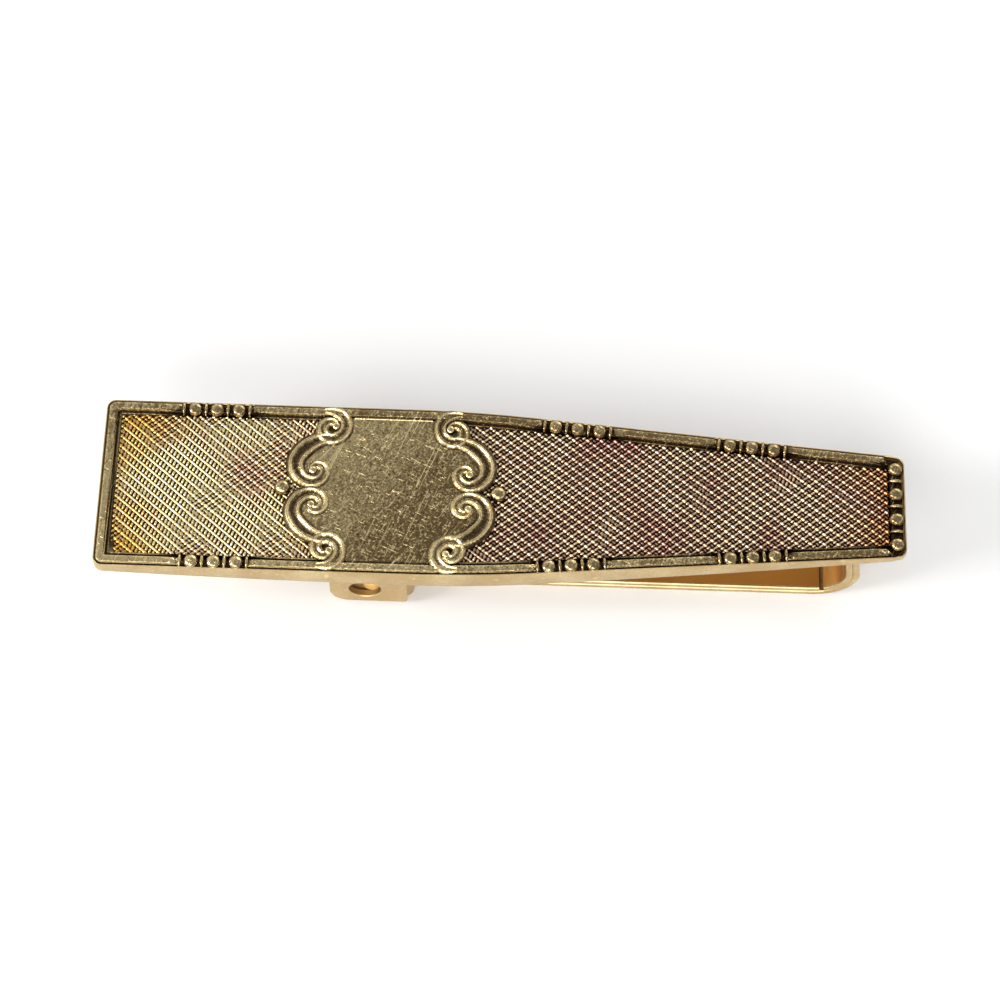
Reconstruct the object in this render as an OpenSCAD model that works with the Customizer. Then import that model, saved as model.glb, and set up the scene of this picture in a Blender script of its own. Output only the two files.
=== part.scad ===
// Sprung tie clip: an ornamented, tapering plate with a hinged lever behind it.
// Millimetres. The row origin is the middle of the bounding box at the lever's floor,
// +X runs from the thumb end to the pinching nose, +Z is the ornamented face.

/* [Plate] */
// Length of the plate
plateLength = 52; // [48:0.5:57]
// Width over the parallel part
plateWidth = 11.9; // [10:0.1:13]
// Width at the nose end
noseWidth = 7.2; // [6:0.1:9]
// Distance from the wide end to the start of the taper
taperStart = 24; // [15:0.5:35]
// Depth from the lever's floor to the plate's rim
overallDepth = 7.65; // [6.5:0.05:9]
// Thickness of the plate at the top of its crowned back
crownThickness = 1.85; // [1.5:0.05:2.5]
// Thickness of the plate at the wide end
endThickness = 1.1; // [0.9:0.05:1.5]
// Distance from the wide end to the top of the crown
crownAt = 23; // [20:0.5:30]
// Radius of the plate's corners
cornerRadius = 0.6; // [0.3:0.05:1]

/* [Ornamental face] */
// Width of the backing bar's edge left round the face
trayWall = 0.22; // [0.15:0.01:0.4]
// Thickness of the struck face
faceThickness = 0.5; // [0.4:0.05:0.7]
// How far the backing bar's edge lies below the rim
trayDrop = 0.12; // [0.05:0.01:0.2]
// Width of the raised rim
rimWidth = 0.62; // [0.4:0.01:1]
// Depth of the two sunk panels
panelDepth = 0.3; // [0.1:0.01:0.4]
// Centre of the cartouche, from the wide end
cartoucheAt = 18.75; // [16:0.05:22]
// Radius of the beads
beadRadius = 0.32; // [0.2:0.01:0.33]
// Distance between beads in a group
beadPitch = 1.43; // [1.2:0.01:1.8]

/* [Hinge] */
// Start of the bracket, from the wide end
bracketAt = 14.9; // [12:0.1:18]
// Length of the bracket
bracketLength = 5.05; // [4:0.05:7]
// Outside width of the bracket
bracketWidth = 9.4; // [8:0.1:10.5]
// Sheet thickness of the bracket
bracketSheet = 0.5; // [0.4:0.05:0.7]
// Height of the bracket's feet above the lever's floor
bracketFoot = 0.45; // [0.2:0.05:1]
// Radius of the holes in the bracket
earHole = 1.05; // [0.8:0.05:1.3]
// Hole centre, from the start of the bracket
earHoleAt = 2.3; // [2:0.05:3]
// Height of the hinge line above the lever's floor
pivotHeight = 2.21; // [2:0.01:3]
// Radius of the pivot pin
pinRadius = 0.55; // [0.4:0.01:0.8]
// Running clearance between the pin and the side of the hole it bears on
pinClearance = 0.05; // [0.02:0.01:0.1]

/* [Lever] */
// Sheet thickness of the lever's folded strip
leverSheet = 0.43; // [0.35:0.01:0.5]
// Width of the lever's arm
armWidth = 6; // [5:0.1:7]
// Width of the thumb tongue
tailWidth = 5.2; // [4:0.1:5.6]
// Distance from the plate's wide end to the tip of the tongue
tailAt = 3; // [2:0.5:6]
// Gap between the strip's two layers
layerGap = 0.05; // [0.03:0.01:0.1]
// Side clearance between the lever's ears and the bracket
earClearance = 0.1; // [0.05:0.01:0.2]
// Height of the lever's ears
earHeight = 3.4; // [3:0.1:4]
// Height of the shoulders between the ears and the arm
shoulderHeight = 2.4; // [1.5:0.1:3]
// Outer radius of the curled nose
noseRadius = 3; // [2:0.1:4]
// Distance from the wide end to the outside of the nose
noseAt = 49.5; // [48:0.1:51]
// Gap between the nose and the plate when closed
noseGap = 0.04; // [0.02:0.01:0.1]

/* [Spring] */
// Mean radius of the coil
coilRadius = 0.95; // [0.8:0.01:1.2]
// Radius of the wire
wireRadius = 0.22; // [0.15:0.01:0.3]
// Full turns in the coil
coilTurns = 6; // [4:1:9]

/* [Hidden] */
arcSides = 48;
crownChords = 52;
cut = 0.5;
shift = -plateLength / 2;
taperLength = plateLength - taperStart;
halfTaper = (plateWidth - noseWidth) / 2;
crownRadius = crownAt * crownAt / (2 * (crownThickness - endThickness));
crownHeight = overallDepth - crownThickness;
faceHalfDrop = trayWall + 0.02;
trayFloor = overallDepth - faceThickness;
panelEdge = faceHalfDrop + rimWidth;
pivotAt = bracketAt + earHoleAt + earHole - pinRadius - pinClearance;
earWidth = bracketWidth - 2 * bracketSheet - 2 * earClearance;
earStart = bracketAt + 0.2;
earEnd = bracketAt + bracketLength + 0.4;
shoulderRound = 0.6;
stack = 2 * leverSheet + layerGap;
seamDepth = 0.25;
innerEnd = noseAt - 2.5;
hemStart = -66;
noseLean = 8;
beadGroups = [7.45, 30.65, 42.15];

// Half width of the plate at a distance from its wide end.
function halfWidth(x) = plateWidth / 2 - max(0, x - taperStart) * halfTaper / taperLength;

// Height of the plate's crowned back at a distance from its wide end.
function backHeight(x) = crownHeight + crownRadius
    - sqrt(crownRadius * crownRadius - (x - crownAt) * (x - crownAt));

// A cylinder lying across the clip, between two distances from the middle.
module crossRod(x, z, radius, half) {
    translate([x, half, z])
    rotate([90, 0, 0])
    cylinder(r = radius, h = 2 * half, $fn = arcSides);
}

// A profile drawn in length and height, given width across the clip.
module acrossProfile(half) {
    translate([0, half, 0])
    rotate([90, 0, 0])
    linear_extrude(height = 2 * half)
    children();
}

// The plate's outline drawn in from its edge, with round corners.
module plateOutline(inset, radius) {
    x0 = inset;
    x1 = plateLength - inset;
    y0 = halfWidth(0) - inset;
    y1 = halfWidth(plateLength) - inset;
    r = max(0.05, radius);
    for (side = [-1, 1]) {
        translate([x0 + r, side * (y0 - r)]) circle(r = r, $fn = arcSides);
        translate([x1 - r, side * (y1 - r)]) circle(r = r, $fn = arcSides);
    }
    polygon([[x0, -y0 + r], [x0 + r, -y0], [taperStart, -y0], [x1 - r, -y1],
             [x1, -y1 + r], [x1, y1 - r], [x1 - r, y1], [taperStart, y0],
             [x0 + r, y0], [x0, y0 - r]]);
}

// The raised centre of the face: a field with four lobes and four corner volutes.
module cartoucheOutline() {
    translate([cartoucheAt, 0]) {
        square([9.2, plateWidth - 1], center = true);
        square([11.6, 3], center = true);
        for (x = [-1, 1], y = [-1, 1]) {
            translate([x * 4.6, y * 1.5]) circle(r = 2.05, $fn = arcSides);
            translate([x * 3.55, y * 4.35]) circle(r = 0.95, $fn = arcSides);
        }
        for (x = [-1, 1]) translate([x * 7, 0]) circle(r = 0.55, $fn = arcSides);
    }
}

// The narrowed waists between the corner volutes and the side lobes.
module cartoucheNotches() {
    translate([cartoucheAt, 0])
    for (x = [-1, 1], y = [-1, 1])
        translate([x * 5.6, y * 4.6]) circle(r = 1.35, $fn = arcSides);
}

// One domed bead on the rim, sunk so that its top stands just over the face.
module bead(x, y) {
    translate([x, y, overallDepth - beadRadius * 0.5])
    sphere(r = beadRadius, $fn = 28);
}

// Every bead: three groups along each long side and one row at the nose.
module rimBeads() {
    for (centre = beadGroups, i = [-1:1], side = [-1, 1]) {
        x = centre + i * beadPitch;
        bead(x, side * (halfWidth(x) - faceHalfDrop - rimWidth / 2));
    }
    for (i = [0:3])
        bead(plateLength - faceHalfDrop - rimWidth / 2, (i - 1.5) * 1.75);
}

// The struck ornamental face: rim, two sunk panels, cartouche and beads.
module facePlate() {
    color("darkgoldenrod")
    translate([shift, 0, 0]) {
        difference() {
            translate([0, 0, trayFloor])
            linear_extrude(height = faceThickness)
            plateOutline(faceHalfDrop, cornerRadius - trayWall);
            translate([0, 0, overallDepth - panelDepth])
            linear_extrude(height = panelDepth + cut)
            difference() {
                plateOutline(panelEdge, 0.2);
                difference() {
                    cartoucheOutline();
                    cartoucheNotches();
                }
            }
        }
        rimBeads();
    }
}

// The crowned back in length and height: a shallow arc drawn as short chords.
module crownProfile() {
    top = overallDepth - trayDrop;
    arc = [for (i = [0:crownChords])
        let (x = plateLength * i / crownChords)
        [x, backHeight(x)]];
    polygon(concat(arc, [[plateLength, top], [0, top]]));
}

// The backing bar: crowned on its back, with a tray for the face.
module basePlate() {
    color("goldenrod")
    translate([shift, 0, 0])
    difference() {
        intersection() {
            linear_extrude(height = overallDepth - trayDrop)
            plateOutline(0, cornerRadius);
            acrossProfile(plateWidth) crownProfile();
        }
        translate([0, 0, trayFloor])
        linear_extrude(height = faceThickness + cut)
        plateOutline(trayWall, cornerRadius - trayWall);
        bracketSeat();
    }
}

// The flat land that the bracket is soldered to, as deep as the crown needs.
module bracketSeat() {
    translate([bracketAt, -bracketWidth / 2, 0])
    cube([bracketLength, bracketWidth, backHeight(bracketAt)]);
}

// One ear of the bracket in length and height, square in front and round behind.
module bracketEar() {
    seat = backHeight(bracketAt);
    round = 1.3;
    difference() {
        union() {
            translate([round, bracketFoot])
            square([bracketLength - round, seat - bracketFoot]);
            translate([0, bracketFoot + round])
            square([bracketLength, seat - bracketFoot - round]);
            translate([round, bracketFoot + round]) circle(r = round, $fn = arcSides);
        }
        translate([earHoleAt, pivotHeight]) circle(r = earHole, $fn = arcSides);
    }
}

// The cradle: a web soldered to the back and two ears with the pivot holes.
module hingeBracket() {
    seat = backHeight(bracketAt);
    half = bracketWidth / 2;
    color("goldenrod")
    translate([shift + bracketAt, 0, 0]) {
        translate([0, -half, seat - bracketSheet])
        cube([bracketLength, bracketWidth, bracketSheet]);
        for (side = [-1, 1])
            translate([0, side * (half - bracketSheet / 2), 0])
            acrossProfile(bracketSheet / 2)
            bracketEar();
    }
}

// The pivot pin, staked in the lever's ears, with a dome on each end.
module hingePin() {
    half = bracketWidth / 2 - 0.3;
    color("goldenrod")
    translate([shift, 0, 0]) {
        crossRod(pivotAt, pivotHeight, pinRadius, half);
        for (side = [-1, 1])
            translate([pivotAt, side * half, pivotHeight])
            rotate([-90 * side, 0, 0])
            rotate_extrude($fn = arcSides)
            intersection() {
                translate([0, -0.6]) circle(r = 0.814, $fn = arcSides);
                square([pinRadius, 1]);
            }
    }
}

// A rectangle from x0 to x1 with one radius at its four corners.
module roundedRect(x0, x1, half, radius) {
    translate([x0, -half + radius]) square([x1 - x0, 2 * (half - radius)]);
    translate([x0 + radius, -half]) square([x1 - x0 - 2 * radius, 2 * half]);
    for (x = [x0 + radius, x1 - radius], y = [radius - half, half - radius])
        translate([x, y]) circle(r = radius, $fn = arcSides);
}

// The tongue and arm seen from above, drawn in at the sides by an inset.
module stripPlan(inset, x1) {
    tailHalf = tailWidth / 2 - inset;
    armHalf = armWidth / 2 - inset;
    translate([tailAt + stack / 2, -tailHalf])
    square([earStart + 1 - tailAt - stack / 2, 2 * tailHalf]);
    translate([earStart + 1, -armHalf]) square([x1 - earStart - 1, 2 * armHalf]);
}

// The strip's two layers, joined inside so that a seam shows along the edges.
module leverStrip() {
    linear_extrude(height = leverSheet) {
        stripPlan(0, noseAt - noseRadius);
        roundedRect(earStart, earEnd, earWidth / 2, shoulderRound);
    }
    translate([0, 0, leverSheet / 2])
    linear_extrude(height = leverSheet)
    stripPlan(seamDepth, innerEnd - 0.8);
    translate([0, 0, leverSheet + layerGap])
    linear_extrude(height = leverSheet)
    stripPlan(0, innerEnd);
    crossRod(tailAt + stack / 2, stack / 2, stack / 2, tailWidth / 2);
    crossRod(innerEnd, stack - leverSheet / 2 + 0.02, leverSheet / 2 + 0.02, armWidth / 2);
}

// One ear of the lever in length and height.
module leverEar() {
    round = 0.9;
    x0 = earStart + shoulderRound;
    x1 = earEnd - shoulderRound;
    difference() {
        union() {
            translate([x0, 0]) square([x1 - x0, earHeight - round]);
            translate([x0 + round, 0]) square([x1 - x0 - 2 * round, earHeight]);
            for (x = [x0 + round, x1 - round])
                translate([x, earHeight - round]) circle(r = round, $fn = arcSides);
        }
        translate([pivotAt, pivotHeight]) circle(r = pinRadius, $fn = arcSides);
    }
}

// The drawn shoulders, where the ears turn in to meet the narrower arm.
module leverShoulders() {
    armInside = armWidth / 2 - leverSheet;
    linear_extrude(height = shoulderHeight)
    difference() {
        roundedRect(earStart, earEnd, earWidth / 2, shoulderRound);
        roundedRect(earStart + leverSheet, earEnd - leverSheet,
                    earWidth / 2 - leverSheet, shoulderRound / 2);
        translate([earStart - cut, -earWidth])
        square([earEnd - earStart - shoulderRound, 2 * earWidth]);
        translate([earStart, -armInside]) square([earEnd, 2 * armInside]);
    }
}

// One layer of the curled nose: a bent strip between two radii, then a straight run.
module noseLayer(outer, inner, startAngle, top) {
    centre = noseAt - noseRadius;
    run = (top - noseRadius - outer * sin(noseLean)) / cos(noseLean);
    reach = 2 * noseRadius;
    translate([centre, noseRadius]) {
        intersection() {
            difference() {
                circle(r = outer, $fn = 2 * arcSides);
                circle(r = inner, $fn = 2 * arcSides);
            }
            polygon([[0, 0], reach * [cos(startAngle), sin(startAngle)],
                     reach * [cos(-35), sin(-35)], reach * [cos(noseLean), sin(noseLean)]]);
        }
        rotate(noseLean) translate([inner, 0]) square([outer - inner, run]);
    }
}

// The nose in length and height: the strip, folded back on itself at the tip.
module noseProfile() {
    tip = backHeight(noseAt - 0.5) - noseGap;
    inside = noseRadius - leverSheet;
    fold = tip - stack / 2;
    noseLayer(noseRadius, inside, -90, fold);
    noseLayer(inside - layerGap, noseRadius - stack, hemStart, fold);
    middle = noseRadius - stack / 2;
    run = (fold - noseRadius - noseRadius * sin(noseLean)) / cos(noseLean);
    translate([noseAt - noseRadius, noseRadius])
    rotate(noseLean)
    translate([middle, run])
    intersection() {
        circle(r = stack / 2, $fn = arcSides);
        translate([-1, -0.02]) square([2, 1]);
    }
}

// Small notches that leave a row of teeth along the nose.
module noseTeeth() {
    tip = backHeight(noseAt - 0.5) - noseGap;
    pitch = armWidth / 8;
    for (i = [-3:3])
        translate([noseAt - 2, i * pitch, tip + 0.12])
        rotate([45, 0, 0])
        translate([0, -0.25, -0.25])
        cube([3, 0.5, 0.5]);
}

// The lever: a strip folded double, with ears at the hinge and a curled nose.
module leverArm() {
    color("goldenrod")
    translate([shift, 0, 0]) {
        leverStrip();
        for (side = [-1, 1])
            translate([0, side * (earWidth - leverSheet) / 2, 0])
            acrossProfile(leverSheet / 2)
            leverEar();
        leverShoulders();
        difference() {
            acrossProfile(armWidth / 2) noseProfile();
            noseTeeth();
        }
    }
}

// The wire's path: lower leg, coil and upper leg, as [centre, outward direction].
lowerLean = 1;
upperLean = 27;
lowerLeg = 7;
upperLeg = 5.75;
coilStep = 18;
coilSweep = 360 * coilTurns + 180 - lowerLean - upperLean;
coilSteps = round(coilSweep / coilStep);
coilPitch = 2 * wireRadius + 0.04;
coilWidth = coilPitch * coilSweep / 360;

// Point on the coil after a share of its sweep.
function coilPoint(share) =
    let (angle = -90 + lowerLean + share * coilSweep)
    [[pivotAt + coilRadius * cos(angle), coilWidth * (share - 0.5),
      pivotHeight + coilRadius * sin(angle)], [cos(angle), 0, sin(angle)]];

// A point moved back or on along the straight leg that leaves the coil.
function legPoint(start, distance) =
    [start[0] + distance * [-start[1][2], 0, start[1][0]], start[1]];

springPath = concat(
    [legPoint(coilPoint(0), -lowerLeg)],
    [for (i = [0:coilSteps]) coilPoint(i / coilSteps)],
    [legPoint(coilPoint(1), upperLeg)]);

// A round wire swept along a path of centres and outward directions.
module sweptWire(path, radius, sides) {
    rings = len(path);
    points = [for (p = path, i = [0:sides - 1])
        p[0] + radius * (cos(360 * i / sides) * p[1] + sin(360 * i / sides) * [0, 1, 0])];
    walls = [for (r = [0:rings - 2], i = [0:sides - 1])
        let (j = (i + 1) % sides)
        [r * sides + i, r * sides + j, (r + 1) * sides + j, (r + 1) * sides + i]];
    first = [for (i = [sides - 1:-1:0]) i];
    last = [for (i = [0:sides - 1]) (rings - 1) * sides + i];
    polyhedron(points = points, faces = concat(walls, [first, last]), convexity = 10);
}

// The spring: a coil round the pin with one leg on the plate and one on the tongue.
module torsionSpring() {
    color("silver")
    translate([shift, 0, 0])
    sweptWire(springPath, wireRadius, 10);
}

facePlate();  // face_plate
basePlate();  // base_plate
hingeBracket();  // hinge_bracket
leverArm();  // lever_arm
hingePin();  // hinge_pin
torsionSpring();  // torsion_spring
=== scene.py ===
from math import cos, pi, radians, sin, sqrt

import bmesh
import bpy
from mathutils import Matrix, Vector


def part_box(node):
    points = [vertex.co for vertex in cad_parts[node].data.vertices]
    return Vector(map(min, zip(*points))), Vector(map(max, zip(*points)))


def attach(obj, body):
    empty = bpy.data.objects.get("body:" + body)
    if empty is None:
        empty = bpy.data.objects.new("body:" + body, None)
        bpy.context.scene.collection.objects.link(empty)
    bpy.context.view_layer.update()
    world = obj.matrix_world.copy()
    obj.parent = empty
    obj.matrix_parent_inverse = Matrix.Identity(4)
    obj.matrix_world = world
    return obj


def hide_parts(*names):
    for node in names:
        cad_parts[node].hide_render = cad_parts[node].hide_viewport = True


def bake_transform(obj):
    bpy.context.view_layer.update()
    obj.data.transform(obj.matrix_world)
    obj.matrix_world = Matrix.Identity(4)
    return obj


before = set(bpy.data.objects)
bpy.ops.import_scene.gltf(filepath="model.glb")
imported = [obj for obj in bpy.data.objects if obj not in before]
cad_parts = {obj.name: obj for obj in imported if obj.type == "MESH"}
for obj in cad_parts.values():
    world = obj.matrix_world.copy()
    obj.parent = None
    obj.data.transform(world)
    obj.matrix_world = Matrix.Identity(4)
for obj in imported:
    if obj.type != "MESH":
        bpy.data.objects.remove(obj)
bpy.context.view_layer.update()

mm = 0.001

# The plate's driving sizes in millimetres, x counted from the wide end.
plateLow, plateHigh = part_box("base_plate")
faceLow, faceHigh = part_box("face_plate")
plate = {
    "length": (plateHigh[0] - plateLow[0]) / mm,
    "width": (plateHigh[1] - plateLow[1]) / mm,
    "noseWidth": 7.2,
    "taperStart": 24,
    "taperBlend": 8,
    "corner": 0.6,
    "leastCorner": 0.08,
    "rimTop": 7.65,
    "barTop": plateHigh[2] / mm,
    "backAt": 23,
    "backHeight": plateLow[2] / mm,
    "backRadius": 352.7,
    "tray": 0.09,
    "trayFloor": faceLow[2] / mm,
}
plate["seat"] = plate["trayFloor"] + 0.02   # raised work starts just off the floor


def place(x, y, z):
    return ((x - plate["length"] / 2) * mm, y * mm, z * mm)


def smoothStep(low, high, value):
    t = min(1, max(0, (value - low) / (high - low)))
    return t * t * (3 - 2 * t)


def halfWidth(x):
    slope = (plate["width"] - plate["noseWidth"]) / 2 / (plate["length"] - plate["taperStart"])
    blend = plate["taperBlend"]
    start = plate["taperStart"] - blend / 2
    if x < start:
        return plate["width"] / 2
    if x < start + blend:
        return plate["width"] / 2 - slope * (x - start) ** 2 / (2 * blend)
    return plate["width"] / 2 - slope * (x - plate["taperStart"])


def backHeight(x):
    radius = plate["backRadius"]
    return plate["backHeight"] + radius - sqrt(radius ** 2 - (x - plate["backAt"]) ** 2)


def addObject(name, data):
    thing = bpy.data.objects.new(name, data)
    bpy.context.scene.collection.objects.link(thing)
    return thing


def shadeSmooth(mesh, angle):
    mesh.shade_smooth()
    mesh.set_sharp_from_angle(angle=radians(angle))


def makeObject(name, verts, faces, smoothAngle=40):
    mesh = bpy.data.meshes.new(name)
    mesh.from_pydata([place(*v) for v in verts], [], faces)
    mesh.validate()
    shadeSmooth(mesh, smoothAngle)
    return addObject(name, mesh)


class Shell:
    # Collects closed shells of vertices and faces for one piece.
    def __init__(self):
        self.verts = []
        self.faces = []

    def loft(self, rings, around=True, caps="fan"):
        # Joins equal rings; around closes the last ring to the first.
        start = len(self.verts)
        size = len(rings[0])
        for ring in rings:
            self.verts.extend(ring)
        steps = len(rings) if around else len(rings) - 1
        for r in range(steps):
            a = start + r * size
            b = start + (r + 1) % len(rings) * size
            for i in range(size):
                j = (i + 1) % size
                self.faces.append((a + i, a + j, b + j, b + i))
        if not around and caps == "fan":
            self.faces.append(tuple(start + i for i in reversed(range(size))))
            last = start + (len(rings) - 1) * size
            self.faces.append(tuple(last + i for i in range(size)))
        if not around and caps == "strips":
            self.strips(start, size, True)
            self.strips(start + (len(rings) - 1) * size, size, False)

    def strips(self, start, size, flip):
        # Caps a ring whose second half mirrors its first, bar by bar.
        half = size // 2
        for i in range(half):
            face = [start + i, start + i + 1, start + size - i - 1, start + (size - i) % size]
            face = list(dict.fromkeys(face))   # a bar at either end is a triangle
            self.faces.append(tuple(reversed(face)) if flip else tuple(face))

    def piece(self, name, smoothAngle=40):
        piece = makeObject(name, self.verts, self.faces, smoothAngle)
        fixNormals(piece)
        return piece


def fixNormals(piece):
    work = bmesh.new()
    work.from_mesh(piece.data)
    bmesh.ops.recalc_face_normals(work, faces=work.faces)
    work.to_mesh(piece.data)
    work.free()


def outline(inset, height, noseInset=0, stepLength=0.25, cornerSteps=8):
    # A closed ring round the plate, upper side first, then its mirror image.
    x0 = inset
    x1 = plate["length"] - inset - noseInset
    radius = max(plate["leastCorner"], plate["corner"] - inset)
    upper = [(x0, 0), (x0, (halfWidth(0) - inset - radius) / 2)]
    side = halfWidth(0) - inset - radius
    for k in range(cornerSteps + 1):
        a = pi - k * pi / 2 / cornerSteps
        upper.append((x0 + radius + radius * cos(a), side + radius * sin(a)))
    steps = round((x1 - x0 - 2 * radius) / stepLength)
    for k in range(1, steps):
        x = x0 + radius + (x1 - x0 - 2 * radius) * k / steps
        upper.append((x, halfWidth(x) - inset))
    top = halfWidth(x1) - inset
    for k in range(cornerSteps + 1):
        a = pi / 2 - k * pi / 2 / cornerSteps
        upper.append((x1 - radius + radius * cos(a), top - radius + radius * sin(a)))
    upper += [(x1, (top - radius) / 2), (x1, 0)]
    ring = upper + [(x, -y) for x, y in reversed(upper[1:-1])]
    if callable(height):
        return [(x, y, height(x, y)) for x, y in ring]
    return [(x, y, height) for x, y in ring]


class Wire:
    # A node's output, with sums written as Python expressions.
    def __init__(self, bench, socket):
        self.bench = bench
        self.socket = socket

    def __add__(self, other):
        return self.bench.maths("ADD", self, other)

    def __sub__(self, other):
        return self.bench.maths("SUBTRACT", self, other)

    def __rsub__(self, other):
        return self.bench.maths("SUBTRACT", other, self)

    def __mul__(self, other):
        return self.bench.maths("MULTIPLY", self, other)

    def __truediv__(self, other):
        return self.bench.maths("DIVIDE", self, other)

    def __rtruediv__(self, other):
        return self.bench.maths("DIVIDE", other, self)

    def __pow__(self, other):
        return self.bench.maths("POWER", self, other)

    def __rpow__(self, other):
        return self.bench.maths("POWER", other, self)

    __radd__ = __add__
    __rmul__ = __mul__

    def cos(self):
        return self.bench.maths("COSINE", self)

    def swing(self):
        # The cosine as a wave from nought to one.
        return self.cos() * 0.5 + 0.5

    def clamp(self):
        return self.bench.maths("MINIMUM", self.bench.maths("MAXIMUM", self, 0.0), 1.0)


class Bench:
    # Adds nodes to one tree: settings first, then the sockets' values or links.
    # A list of wires goes into one socket that takes several.
    def __init__(self, tree):
        self.tree = tree

    def add(self, kind, settings=None, inputs=None, out=0):
        node = self.tree.nodes.new(kind)
        for key, value in (settings or {}).items():
            if key == "stops":
                self.setStops(node.color_ramp, value)
            else:
                setattr(node, key, value)
        for key, value in (inputs or {}).items():
            if not isinstance(value, (Wire, list)):
                node.inputs[key].default_value = value
                continue
            for wire in value if isinstance(value, list) else [value]:
                self.tree.links.new(wire.socket, node.inputs[key])
        return Wire(self, node.outputs[out]) if node.outputs else node

    def setStops(self, ramp, stops):
        while len(ramp.elements) < len(stops):
            ramp.elements.new(0.5)
        for element, (position, shade) in zip(ramp.elements, stops):
            element.position = position
            element.color = (*shade, 1)

    def maths(self, operation, *values):
        return self.add("ShaderNodeMath", {"operation": operation}, dict(enumerate(values)))

    def ramp(self, value, stops):
        return self.add("ShaderNodeValToRGB", {"stops": stops}, {0: value})

    def mix(self, factor, first, second):
        # Each end is a wire or a plain colour of three values.
        ends = [end if isinstance(end, Wire) else (*end, 1) for end in (first, second)]
        return self.add("ShaderNodeMix", {"data_type": "RGBA"},
                        {0: factor, 6: ends[0], 7: ends[1]}, out=2)

    def outputs(self, wire):
        return [Wire(self, socket) for socket in wire.socket.node.outputs]

    def split(self, vector):
        return self.outputs(self.add("ShaderNodeSeparateXYZ", {}, {0: vector}))


def colour(red, green, blue):
    # A screen colour, 0 to 255, as the linear value that nodes use.
    return tuple(((c / 255 + 0.055) / 1.055) ** 2.4 for c in (red, green, blue))


finishes = {
    "gilt": colour(226, 208, 166),
    "giltDark": colour(188, 162, 116),
    "bronze": colour(218, 196, 144),
    "bronzeDark": colour(132, 110, 72),
    # dark oxide colour, also used for the painted shade round the foot of raised work
    "patinaAndShade": colour(42, 24, 14),
    "worn": colour(252, 230, 176),
    "steel": colour(196, 194, 190),
    "steelDark": colour(120, 116, 110),
    "pin": colour(242, 206, 140),
    "pinDark": colour(214, 172, 104),
    # painted bounce light and shade for the lever's channel under the plate
    "paintedBounceAmber": colour(204, 144, 64),
}


def startMetal(name):
    # An empty material, its bench, and the place on the object in millimetres.
    material = bpy.data.materials.new(name)
    material.use_nodes = True
    material.node_tree.nodes.clear()
    bench = Bench(material.node_tree)
    coords = bench.add("ShaderNodeTexCoord", out=3)
    inMm = bench.add("ShaderNodeVectorMath", {"operation": "SCALE"},
                     {0: coords, "Scale": 1 / mm})
    return material, bench, inMm


def endMetal(material, bench, base, roughness, bump, strength, distance):
    normal = bench.add("ShaderNodeBump", {}, {"Strength": strength, "Distance": distance * mm,
                                              "Height": bump})
    shader = bench.add("ShaderNodeBsdfPrincipled", {},
                       {"Base Color": base, "Metallic": 1.0, "Roughness": roughness,
                        "Normal": normal})
    bench.add("ShaderNodeOutputMaterial", {}, {"Surface": shader})
    return material


def noise(bench, where, scale, detail=4, stretch=(1, 1, 1), turn=0):
    mapped = bench.add("ShaderNodeMapping", {"vector_type": "TEXTURE"},
                       {"Vector": where, "Scale": stretch, "Rotation": (0, 0, turn)})
    return bench.add("ShaderNodeTexNoise", {}, {"Vector": mapped, "Scale": scale,
                                                "Detail": float(detail)})


def above(value, level, gain):
    # Nothing up to a level, then rising to one.
    return ((value - level) * gain).clamp()


def scratches(bench, where, turn, pitch, cut):
    # Long thin lines: the crest of a noise drawn out along one direction.
    return above(noise(bench, where, pitch, 2, (9.0, 0.16, 1), turn), cut, 14.0)


# The struck face's four states of wear, with painted light and shade. The x and y rates give a
# painted light gradient, how fast the tone falls along x and y; foot is the height of the painted
# shade band round raised work, with how sharply it ends.
antiques = {
    "rimGilt": {"tone": 0.3, "paintedLightX": 0.026, "paintedLightY": 0.075, "centre": 0, "cloud": 1.5,
                "grain": 2.0, "speck": 2.8, "flecks": 0.45, "lines": 0.5, "rubbed": 0.42,
                "rough": 0.16, "foot": (7.612, 30.0)},
    "fieldGilt": {"tone": 0.36, "paintedLightX": 0.075, "paintedLightY": -0.06, "centre": -7.25, "cloud": 0.9,
                  "grain": 0.9, "speck": 2.0, "flecks": 0.9, "lines": 1.0, "rubbed": 0.5,
                  "rough": 0.15, "foot": (7.612, 30.0)},
    "scrollGilt": {"tone": 0.14, "paintedLightX": 0.014, "paintedLightY": 0.045, "centre": 0, "cloud": 1.5,
                   "grain": 1.4, "speck": 2.0, "flecks": 0.4, "lines": 0.4, "rubbed": 0.5,
                   "rough": 0.1, "foot": (7.6, 22.0)},
    "beadGilt": {"tone": 0.1, "paintedLightX": 0.014, "paintedLightY": 0.045, "centre": 0, "cloud": 1.2,
                 "grain": 0.8, "speck": 1.2, "flecks": 0.3, "lines": 0.3, "rubbed": 0.16,
                 "rough": 0.05, "foot": (7.612, 30.0)},
}
wear = {
    "deepFrom": 7.52,     # dark oxide fills what lies lower
    "rubbedFrom": 7.64,   # hands polish what stands higher
    "scratchTurns": (radians(68), radians(50)),
    "fleckTurns": (radians(62), radians(-24)),
    "grainTurn": radians(8),
}


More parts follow.
